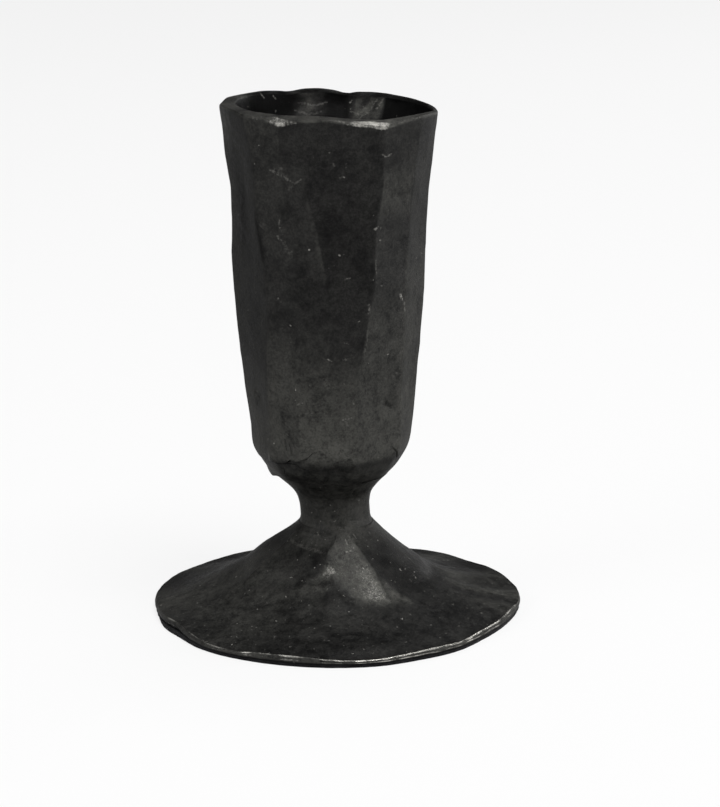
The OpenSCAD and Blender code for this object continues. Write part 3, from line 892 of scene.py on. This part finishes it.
neck_radius = curve([
    (13, 5.4), (14.2, 5.4), (15.2, 5.38), (16.2, 5.38), (17.2, 5.42), (18.2, 5.6), (19, 5.9), (19.75, 6.45),
    (20.45, 7.1), (21.2, 7.85), (21.6, 8.25), (22, 8.68), (23, 9.8),
], 0.5)
neck_shift = curve([
    (13, -0.3), (14.2, -0.3), (15.2, -0.38), (16.2, -0.45), (17.2, -0.53), (18.2, -0.6), (19, -0.71),
    (19.75, -0.78), (20.45, -0.85), (21.2, -0.96), (22, -1.0), (23, -1.0),
], 0.8)
NECK_RIDGES = [-72, -28, 20, 66, 108, 152, 200, 248]
# Dust and painted light and shade on the neck: lighter all round and higher up, darker low down and at the
# left, and lighter low down at the front
NECK_PAINTED_SHADING = [
    (0.4, ALL_ROUND, FROM_START, TO_END), (0.3, ALL_ROUND, (18, 20.5), TO_END),
    (-0.1, ALL_ROUND, FROM_START, (14.4, 17.8)), (0.5, (10, 36), FROM_START, (14.4, 17.8)),
    (-0.2, (-52, 30), (14, 17), (17, 20)),
]


def neck_place(angle, reach, level):
    """Where a vertex of the neck goes, and its worn metal, dust and painted light and shade."""
    radius = neck_radius(level)
    place = at_angle(angle, radius, 0, level)
    relief = 0.05 * grain(place, 3.5, 11) + 0.03 * hammered(place, 3, 12) + 0.012 * grain(place, 0.8, 13)
    for ridge in NECK_RIDGES:
        relief += 0.05 * sector(angle, ridge, 16) - 0.01
    radius += relief * max(0, min(1, (BOTTOM - level) / 0.8, (level - NECK_LOW) / 0.8))
    if level < FILLET_MIDDLE_Z:
        arc = FILLET_MIDDLE_R - math.sqrt(FILLET_R ** 2 - (FILLET_MIDDLE_Z - level) ** 2)
        radius += max(0, arc - NECK_R) * fillet_share(angle)
    radius = blend(HOLE_R, radius, reach)
    shift = blend(RIVET_SHIFT, neck_shift(level), reach)
    return at_angle(angle, radius, shift, level), 0.0, patchwork(NECK_PAINTED_SHADING, angle, level)


def neck():
    rows = [  # radius, height, cuts, (reach, level)
        (HOLE_R, NECK_LOW, 3, (0, NECK_LOW)),
        (6, NECK_LOW, 47, (1, NECK_LOW)),
        (6, BOTTOM, 5, (1, BOTTOM)),
        (HOLE_R, BOTTOM, 5, (0, BOTTOM)),
    ]
    bm, layers = turned(rows, 216, ("reach", "level"))
    shaped(bm, layers, neck_place)
    return finish("waisted_neck", bm, NECK_IRON, "neck")


# Foot

CROWN_R, EDGE_R, PLATE_T = 5.5, radius_of("foot"), 1.4
# Outline of the foot seen from above: (angle, radius)
foot_outline = ring([
    (-100, 28.1), (-92, 28.1), (-85, 27.8), (-79, 27.55), (-70, 27.7), (-60, 27.35), (-53, 27.75),
    (-47, 28.2), (-39, 28.3), (-29, 28.2), (13, 28.2), (26, 27.45), (37, 27.4), (45, 27.1), (52, 26.65),
    (59, 26.5), (66, 26.6), (73, 26.8), (79, 27.1), (85, 27.5), (92, 28.0), (108, 28.1), (126, 27.75),
    (145, 28.1), (175, 28.15), (205, 28.1), (232, 27.75), (246, 28.05),
], 7)
# Height of the upper and lower corner of its edge: (angle, height), and how bright the edge is rubbed
edge_top = ring([
    (-110, 1.8), (-92, 1.6), (-80, 1.55), (-70, 1.8), (-62, 2.15), (-52, 1.85), (-42, 1.3), (-31, 1.1),
    (-25, 1.6), (-12, 1.65), (0, 1.15), (6, 1.05), (12, 1.15), (19, 1.3), (27, 1.4), (35, 1.5), (42, 1.2),
    (53, 1.5), (65, 1.45), (78, 1.7), (88, 1.45), (98, 1.95), (110, 1.75), (122, 2.2), (134, 1.8), (150, 2.0),
    (165, 1.7), (182, 1.95), (200, 1.65), (215, 1.95), (232, 1.75),
], 6)
edge_low = ring([
    (-110, 0.5), (-78, 0.55), (-62, 0.95), (-50, 0.6), (-38, 0.5), (0, 0.5), (120, 0.5), (200, 0.5),
], 6)
edge_wear = ring([
    (-90, 0.35), (-69, 0.3), (-64, 0.75), (-60, 0.3), (-46, 0.55), (-36, 0.65), (-24, 0.65), (-12, 0.6),
    (-6, 0.6), (0, 1.1), (18, 1.1), (24, 0.9), (30, 1.1), (42, 1.1), (50, 0.9), (60, 0.9), (70, 0.9),
    (80, 0.5), (100, 0.4), (180, 0.5), (220, 0.45),
], 4)
# Height of the upper face by the distance from the crown, and how far its rings lean to the right
foot_slope = curve([
    (0, 14.2), (0.5, 13.75), (1.5, 12.85), (2.4, 12.05), (5.1, 9.8), (7.5, 7.9), (10.1, 6.1), (12.5, 4.7),
    (15, 3.6), (17.5, 2.75), (20, 2.15), (22.6, 1.75), (24, 1.7),
], 0.8)
foot_lean = curve([
    (0, -0.1), (0.06, 0.05), (0.12, 0.3), (0.18, 0.65), (0.27, 1.0), (0.34, 0.95), (0.44, 1.2), (0.6, 1.1),
    (0.8, 0.6), (1, 0.0),
], 0.04)
# The ridges between the hammered faces of the cone, and how flat the faces are: (angle, share)
FOOT_RIDGES = [-63, -10, 28, 76, 122, 165, 208, 256]
flatness = ring([
    (-100, 0.4), (-66, 0.8), (-20, 0.9), (32, 0.9), (50, 0.6), (72, 0.25), (105, 0.2), (180, 0.5), (230, 0.4),
], 8)
# Where the steep faces start and end: (angle, radius)
upper_crease = ring([
    (-100, 7.4), (-63, 8.0), (-12, 8.5), (-3, 8.2), (4, 7.0), (25, 7.4), (34, 7.8), (84, 8.0), (165, 7.6),
    (220, 7.8),
], 3)
lower_crease = ring([
    (-104, 14.5), (-66, 15.6), (-61, 15.4), (-55, 15.4), (-37, 13.6), (-20, 12.0), (-6, 11.5), (0, 12.6),
    (8, 14.8), (26, 15.3), (31, 15.0), (38, 13.8), (60, 13.6), (84, 14.0), (122, 15.0), (165, 14.2),
    (208, 15.2),
], 3)
# Soft folds that run out to the edge where the hammer thinned it: (angle, height)
folds = ring([
    (-120, 0.05), (-104, -0.06), (-88, 0.08), (-70, -0.03), (-40, 0.03), (0, 0.0), (40, 0.0), (70, 0.0),
    (79, 0.1), (86, -0.1), (93, 0.12), (100, -0.14), (112, 0.16), (127, -0.12), (140, 0.12), (155, -0.1),
    (172, 0.1), (190, -0.08), (206, 0.1), (224, -0.06),
], 4)
# How the two ridges at the front of the cone wander: (radius, degrees past their place)
left_wander = curve([(5.5, 15), (6.7, 11), (8.3, 2), (9.5, 0), (10.6, 4), (11.5, 7), (16.5, 8)], 1)
right_wander = curve([(5.5, -11), (6.5, -7), (7.5, -5), (8.7, -1), (10, 1), (11.7, 2), (13.4, 2), (17, 2)], 1)

# Patches of painted light, shade and highlights on the cone, seen from above: (painted shading, painted
# highlight, softness, corners in order)
FOOT_PAINTED_PATCHES = [
    (0.5, 0.36, 0.9, [(1.3, -6.6), (2.8, -6.5), (7.5, -12.6), (7.9, -13.9), (6.0, -14.6), (2.6, -14.8),
        (-1.2, -11.6), (-1.7, -9.3)]),
    (0.5, 0.1, 1.2, [(3.4, -10.4), (4.8, -9.2), (7.9, -13.4), (7.9, -14.3), (4.6, -14.4)]),
    (-0.4, -0.12, 1.6, [(-1.2, -12.4), (0.4, -12.6), (2.2, -13.2), (2.8, -14.4), (1.6, -16.0),
        (-0.4, -16.2), (-1.6, -14.8)]),
    (0.6, 0.36, 0.5, [(-3.4, -11.6), (-1.8, -9.9), (-0.4, -11.0), (-1.4, -12.4)]),
    (0.42, 0.08, 0.7, [(-7.1, -10.7), (-3.8, -11.9), (-1.2, -12.0), (-0.6, -13.6), (-2.8, -14.4),
        (-6.9, -12.6)]),
    (0.9, 0.22, 0.8, [(7.0, -10.6), (9.4, -10.8), (11.2, -11.9), (9.2, -13.6), (7.9, -13.6)]),
    (-0.1, 0.0, 0.5, [(-6.7, -5.1), (-2.2, -8.8), (-2.3, -10.2), (-3.2, -10.9), (-5.3, -10.9),
        (-8.2, -10.1), (-10.5, -9.0), (-11.0, -5.6)]),
    (-0.1, 0.0, 1.0, [(-2.5, -5.6), (0.2, -6.2), (3.0, -5.4), (3.6, -6.6), (2.2, -7.9), (-1.0, -8.3)]),
    (-0.25, 0.0, 1.2, [(5.5, -4.0), (12.0, -5.5), (13.0, -8.5), (8.0, -11.0), (4.5, -7.5)]),
]
# Wider painted light and shade on the foot, by angle and radius
FOOT_PAINTED_SHADING = [
    (0.12, (-5, 90), (11, 18), (18, 25)), (0.3, ALL_ROUND, FROM_START, (6.2, 9.5)),
    (0.2, (10, 60), FROM_START, (6.2, 9.5)), (0.35, (-50, 60), (6, 8), (20, 26)),
    (-0.25, (58, 28), (9, 12), TO_END), (0.55, (-80, 36), (9, 13), TO_END), (0.7, (96, 24), (15, 19), TO_END),
    (0.25, (-45, 30), (19, 23), TO_END), (0.3, (66, 22), (19, 23), TO_END),
]


def straightened(angle, radius):
    """The angle that a place would have if the two front ridges of the cone did not wander."""
    left, right = left_wander(radius), right_wander(radius)
    return angle - left * sector(angle, left - 10, 25) - right * sector(angle, right + 28, 25)


def inside(corners, x, y, soft):
    """1 inside a convex outline, whose corners go round either way, and 0 outside, with a soft edge."""
    nearest = [1e3, 1e3]
    for (ax, ay), (bx, by) in zip(corners, corners[1:] + corners[:1]):
        away = ((x - ax) * (by - ay) - (y - ay) * (bx - ax)) / math.hypot(bx - ax, by - ay)
        nearest = [min(nearest[0], away), min(nearest[1], -away)]
    return ease(-soft, soft, max(nearest))


def painted_patches_at(x, y):
    """The painted light and shade and the painted highlight that the patches of the cone add at a place."""
    dust_and_painted_shading, wear_and_painted_highlight = 0.0, 0.0
    for more_shading, more_highlight, soft, corners in FOOT_PAINTED_PATCHES:
        part = inside(corners, x, y, soft)
        dust_and_painted_shading += more_shading * part
        wear_and_painted_highlight += more_highlight * part
    return dust_and_painted_shading, max(wear_and_painted_highlight, 0.0)


def faced_radius(angle, radius):
    """The radius that a place on the cone would have if its faces were round: less between ridges."""
    best = []
    facing = straightened(angle, radius)
    for ridge, after in zip(FOOT_RIDGES, FOOT_RIDGES[1:] + [FOOT_RIDGES[0] + 360]):
        middle, half = (ridge + after) / 2, (after - ridge) / 2
        across = around(facing, middle)
        if abs(across) < 75:
            best.append(radius * math.cos(math.radians(across)) / math.cos(math.radians(half)))
    best.sort()
    soft = 0.05 + 0.12 * ease(14, 22, radius) + 0.35 * sector(angle, 0, 16) * ease(11.5, 13.5, radius)
    flat = -softer(-best[-1], -best[-2], soft) if len(best) > 1 else best[-1]
    faceted = flatness(angle) * ease(CROWN_R, CROWN_R + 2.2, radius) * fade(15, 25, radius)
    return blend(radius, flat, faceted)


def foot_height(angle, radius):
    """Height of the foot's upper face at a place, without its fine relief."""
    lean = foot_lean(min(max((radius - CROWN_R) / (EDGE_R - CROWN_R), 0), 1))

    def slope(r):
        p = at_angle(angle, r, lean, 0)
        return foot_slope(math.hypot(p.x, p.y) - CROWN_R)

    reach = faced_radius(angle, radius)
    top, foot = upper_crease(angle), lower_crease(angle)
    height = slope(reach)
    if top < reach < foot:
        straight = blend(slope(top), slope(foot), (reach - top) / (foot - top))
        height = blend(height, straight, 0.9)
    # The iron is a little hollow just outside the foot of the steep faces
    height -= (0.22 - 0.1 * sector(angle, 15, 30)) * bump(reach - foot - 0.4, 2.2)
    if radius < 6.4:
        arc = FILLET_MIDDLE_Z - math.sqrt(FILLET_R ** 2 - (FILLET_MIDDLE_R - radius) ** 2)
        height = min(CROWN_Z, height + max(0, arc - height) * fillet_share(angle))
    return height


def edge_finish(angle, up, place):
    """Worn metal and painted shading of the plate's edge: a bright line along its upper corner and another
    below it, with painted shade on its lowest part.
    """
    lower_line = 0.45 + 0.2 * grain(place, 3.5, 26)
    rub = edge_wear(angle) * (0.95 + 1.0 * grain(place, 1.6, 27))
    wear_and_painted_highlight = rub * max(1.1 * bump(up - 0.98, 0.3), 0.9 * bump(up - lower_line, 0.2), 0.25 * ease(0.1, 0.4, up))
    # Its upper part is painted lighter, and its lowest part is painted in shade
    dust_and_painted_shading = 0.5 * ease(0.1, 0.4, up) - 0.9 * fade(0.05, 0.3, up)
    # Painted black shadow where the felt ring stands out under the raised edge at the left
    dust_and_painted_shading -= 1.2 * sector(angle, -66, 18) * fade(0.35, 0.75, up)
    return wear_and_painted_highlight, dust_and_painted_shading


def face_finish(angle, radius, share, fold, place):
    """Worn metal, dust and painted light, shade and highlights of the foot's upper face."""
    dust_and_painted_shading, wear_and_painted_highlight = painted_patches_at(place.x, place.y) if radius < 18 and abs(angle) < 90 else (0.0, 0.0)
    dust_and_painted_shading *= 1 + 0.6 * grain(place, 0.8, 29)
    # Painted light and shade over the foot, painted light on the crests of the folds and painted shade in
    # their troughs
    dust_and_painted_shading += patchwork(FOOT_PAINTED_SHADING, angle, radius) + 4.0 * max(fold, -0.06)
    return max(wear_and_painted_highlight, 0.75 * edge_wear(angle) * ease(0.978, 1.0, share)), dust_and_painted_shading


def foot_place(turn, reach, share, up):
    """Where a vertex of the foot goes, and its worn metal, dust and painted light, shade and highlights."""
    angle = turn if turn < 256 else turn - 360
    radius = blend(CROWN_R, foot_outline(angle), share)
    height = foot_height(angle, radius) if reach > 0.99 else CROWN_Z
    height += (edge_top(angle) - foot_slope(EDGE_R - CROWN_R)) * ease(0.86, 1.0, share)
    place = at_angle(angle, radius, 0, height)
    relief = 0.05 * hammered(place, 6, 21) * ease(12, 18, radius)
    relief += 0.08 * grain(place, 7, 22) * ease(7, 14, radius)
    relief += 0.035 * grain(place, 2.4, 23) * ease(6, 9, radius) + 0.014 * grain(place, 0.9, 24)
    rough_face = sector(angle, 15, 26) * ease(6, 8, radius) * fade(15, 17, radius)
    relief += 0.055 * rough_face * grain(place, 0.6, 28)
    fold = folds(angle + 5 * ease(27, 15, radius)) * ease(12, 23, radius)
    height += (relief + 1.3 * fold) * min(1, reach) * (0.4 if share == 1 else 1)
    low = edge_low(angle)
    wear_and_painted_highlight, dust_and_painted_shading = 0.0, 0.0
    if share > 0.9999:
        wear_and_painted_highlight, dust_and_painted_shading = edge_finish(angle, up, place)
        height = blend(low, height, up)
        rounded = 0.2 * math.sin(math.pi * min(max(up, 0), 1))
        radius += rounded + 0.1 * grain(place, 1.4, 25) - 0.12 + 0.06 * up
    elif up > 0.5:
        wear_and_painted_highlight, dust_and_painted_shading = face_finish(angle, radius, share, fold, place)
    else:
        height = max(low, height - PLATE_T) if share < 1 else low
    radius = blend(HOLE_R, radius, reach)
    shift = blend(RIVET_SHIFT, 0, ease(0, 0.3, share)) if reach > 0.99 else RIVET_SHIFT
    return at_angle(angle, radius, shift, height), wear_and_painted_highlight, dust_and_painted_shading


def foot():
    rows = [  # radius, height, cuts, (reach, share, up)
        (HOLE_R, CROWN_Z, 2, (0, 0, 1)),
        (CROWN_R, CROWN_Z, 7, (1, 0, 1)),
        (6.4, 13.4, 87, (1, 0.04, 1)),
        (27.4, 1.8, 5, (1, 0.97, 1)),
        (EDGE_R, 1.7, 6, (1, 1, 1)),
        (EDGE_R, FOOT_LOW, 8, (1, 1, 0)),
        (24.9, FOOT_LOW, 39, (1, 0.86, 0)),
        (CROWN_R, WASHER_TOP, 2, (1, 0, 0)),
        (HOLE_R, WASHER_TOP, 2, (0, 0, 0)),
    ]
    bm, layers = turned(rows, 360, ("reach", "share", "up"))
    shaped(bm, layers, foot_place)
    return finish("dished_foot", bm, FOOT_IRON, "foot", math.radians(32))


# Felt ring

PAD_IN_R, PAD_OUT_R = 24.9, radius_of("base_pad")


def felt_ring():
    rows = [  # radius, height, cuts, (reach, up)
        (PAD_IN_R, PAD_TOP, 12, (0, 1)),
        (PAD_OUT_R, PAD_TOP, 1, (1, 1)),
        (28.05, 0.42, 3, (1.01, 0.84)),
        (28.05, 0.06, 1, (1.01, 0.12)),
        (PAD_OUT_R, TABLE, 12, (1, 0)),
        (PAD_IN_R, TABLE, 4, (0, 0)),
    ]
    bm, (reach, up) = turned(rows, 360, ("reach", "up"))
    for v in bm.verts:
        angle = turn_of(v)
        signed = angle if angle < 256 else angle - 360
        # Just inside the plate's edge, and just outside it at the left
        outline = foot_outline(signed) - 0.12 + 0.24 * sector(signed, -66, 22)
        place = at_angle(angle, PAD_OUT_R, 0, 0.4 * v[up])
        fuzz = 0.05 * grain(place, 0.9, 31) + 0.03 * grain(place, 0.35, 32)
        radius = blend(PAD_IN_R + 2 * fuzz, outline + fuzz, v[reach])
        height = v[up] * PAD_TOP
        if v[up] > 0.9 and v[reach] > 0.5:
            height += (edge_low(signed) - PAD_TOP) * ease(0.3, 0.9, v[reach]) * 0.9
        v.co = at_angle(angle, radius, 0, height) * MM
    return finish("felt_ring", bm, BLACK_FELT, "base_pad")


# Rivet, washer and seat plate

SHANK_R = 2.2


def rivet():
    """One shank with a domed head on the seat plate and a peened head under the foot."""
    rows = [  # radius, height, cuts, no values
        (0, PEEN_LOW, 7, ()), (1.6, 10.42, 5, ()), (3.0, 11.1, 2, ()), (3.5, WASHER_LOW, 3, ()),
        (SHANK_R, WASHER_LOW, 15, ()), (SHANK_R, SEAT_TOP, 3, ()), (3.98, SEAT_TOP, 2, ()),
        (3.6, 26.35, 5, ()), (2.2, 27.15, 5, ()), (0, HEAD_TOP, 0, ()),
    ]
    bm = turned(rows, 72, (), closed=False)[0]
    bmesh.ops.translate(bm, verts=bm.verts, vec=(RIVET_SHIFT * MM, 0, 0))
    for v in bm.verts:
        place = v.co / MM
        if place.z > SEAT_TOP + 0.05 or place.z < WASHER_LOW - 0.05:
            v.co.z += (0.06 if place.z > 20 else -0.06) * hammered(place, 1.6, 41) * MM
            v.co.z += 0.03 * grain(place, 0.8, 42) * MM
    evenly_worn(bm, 0.25)
    return finish("rivet_body", bm, PLAIN_IRON, "rivet")


def disc(name, node_name, chamfer, seed):
    """A flat round plate on the rivet, a little uneven, as wide and thick as its CAD node."""
    outer, shift, (low, high) = radius_of(node_name), shift_of(node_name), levels_of(node_name)
    rows = [  # radius, height, cuts, no values
        (HOLE_R, low, 8, ()), (outer - chamfer, low, 1, ()), (outer, low + chamfer, 2, ()),
        (outer, high - chamfer, 1, ()), (outer - chamfer, high, 8, ()), (HOLE_R, high, 3, ()),
    ]
    bm = turned(rows, 120, ())[0]
    for v in bm.verts:
        place = v.co / MM
        away = math.hypot(place.x, place.y)
        part = ease(HOLE_R, outer, away)
        v.co.x += blend(RIVET_SHIFT, shift, part) * MM
        v.co.z += 0.03 * grain(place, 2.0, seed) * MM * ease(HOLE_R + 1.8, outer, away)
        v.co.x += 0.04 * grain(place, 3.0, seed + 1) * MM * part
    evenly_worn(bm, 0.2)
    return finish(name, bm, PLAIN_IRON, node_name)


socket()
neck()
foot()
felt_ring()
rivet()
disc("seat_disc", "seat_plate", 0.3, 51)
disc("washer_disc", "rivet_washer", 0.25, 61)


# Floor, lights and camera, in metres

# Half the floor's side, its grey, and the white that shows behind the candlestick
FLOOR_HALF, FLOOR_GREY, BACKDROP_WHITE = 20, 0.82, 0.955
# What the lamps face, and the light from all round
AIM, SKY_STRENGTH = Vector((0, 0, 0.04)), 0.27
# The photograph's camera: its place, how many degrees it looks down, and its lens and sensor in millimetres
CAMERA_PLACE, CAMERA_TILT, LENS, SENSOR = (0.003373, -0.447964, 0.145423), 14.16, 136.5, 36


def floor():
    """A pale floor that shows plain white behind the candlestick and keeps a soft shadow."""
    material, tree = new_material("pale_floor")[:2]
    tree.nodes.remove(tree.nodes["Principled BSDF"])
    paths = node(tree, "ShaderNodeLightPath").outputs
    through = larger(tree, paths["Is Glossy Ray"], paths["Is Transmission Ray"])
    seen = larger(tree, paths["Is Camera Ray"], through)
    matt = node(tree, "ShaderNodeBsdfDiffuse", {"Color": (*3 * [FLOOR_GREY], 1)})
    glow = node(tree, "ShaderNodeEmission", {"Color": (*3 * [BACKDROP_WHITE], 1), "Strength": 1.0})
    mixed = node(tree, "ShaderNodeMixShader", {0: product(tree, seen, 0.85), 1: matt.outputs[0],
                                               2: glow.outputs[0]})
    tree.links.new(mixed.outputs[0], tree.nodes["Material Output"].inputs["Surface"])
    bm = bmesh.new()
    bmesh.ops.create_grid(bm, x_segments=1, y_segments=1, size=FLOOR_HALF)
    plane = linked("floor", mesh_of("floor", bm, material))


def softbox(name, azimuth, elevation, distance, size, strength):
    """A soft square lamp that faces the candlestick, from an angle round it and an angle above the floor."""
    lamp = bpy.data.lights.new(name, "AREA")
    lamp.shape = "SQUARE"
    lamp.size = size
    lamp.energy = strength
    up = math.radians(elevation)
    holder = linked(name, lamp)
    holder.location = at_angle(azimuth, distance * math.cos(up), 0, distance * math.sin(up))
    holder.rotation_euler = (AIM - holder.location).to_track_quat("-Z", "Y").to_euler()
    holder.visible_camera = False


def studio():
    softbox("key_softbox", 38, 66, 0.9, 0.36, 5.0)
    softbox("top_softbox", 150, 78, 0.9, 0.5, 3.0)
    softbox("right_softbox", 84, 9, 0.8, 0.24, 2.4)
    softbox("back_right_softbox", 140, 10, 0.9, 0.24, 2.0)
    softbox("left_softbox", -58, 30, 0.9, 0.4, 2.6)
    world = bpy.data.worlds.new("studio")
    bpy.context.scene.world = world
    world.use_nodes = True
    sky = world.node_tree.nodes["Background"].inputs
    sky["Color"].default_value = (1, 1, 1, 1)
    sky["Strength"].default_value = SKY_STRENGTH


def camera():
    """The photograph's camera, fitted to the outlines of the foot, the neck and the rim."""
    lens = bpy.data.cameras.new("camera")
    lens.sensor_width, lens.sensor_fit = SENSOR, "AUTO"
    lens.lens = LENS
    view = linked("camera", lens)
    view.location = CAMERA_PLACE
    view.rotation_euler = (math.radians(90 - CAMERA_TILT), 0, 0)
    bpy.context.scene.camera = view


floor()
studio()
camera()
bpy.context.scene.view_settings.view_transform = "Standard"
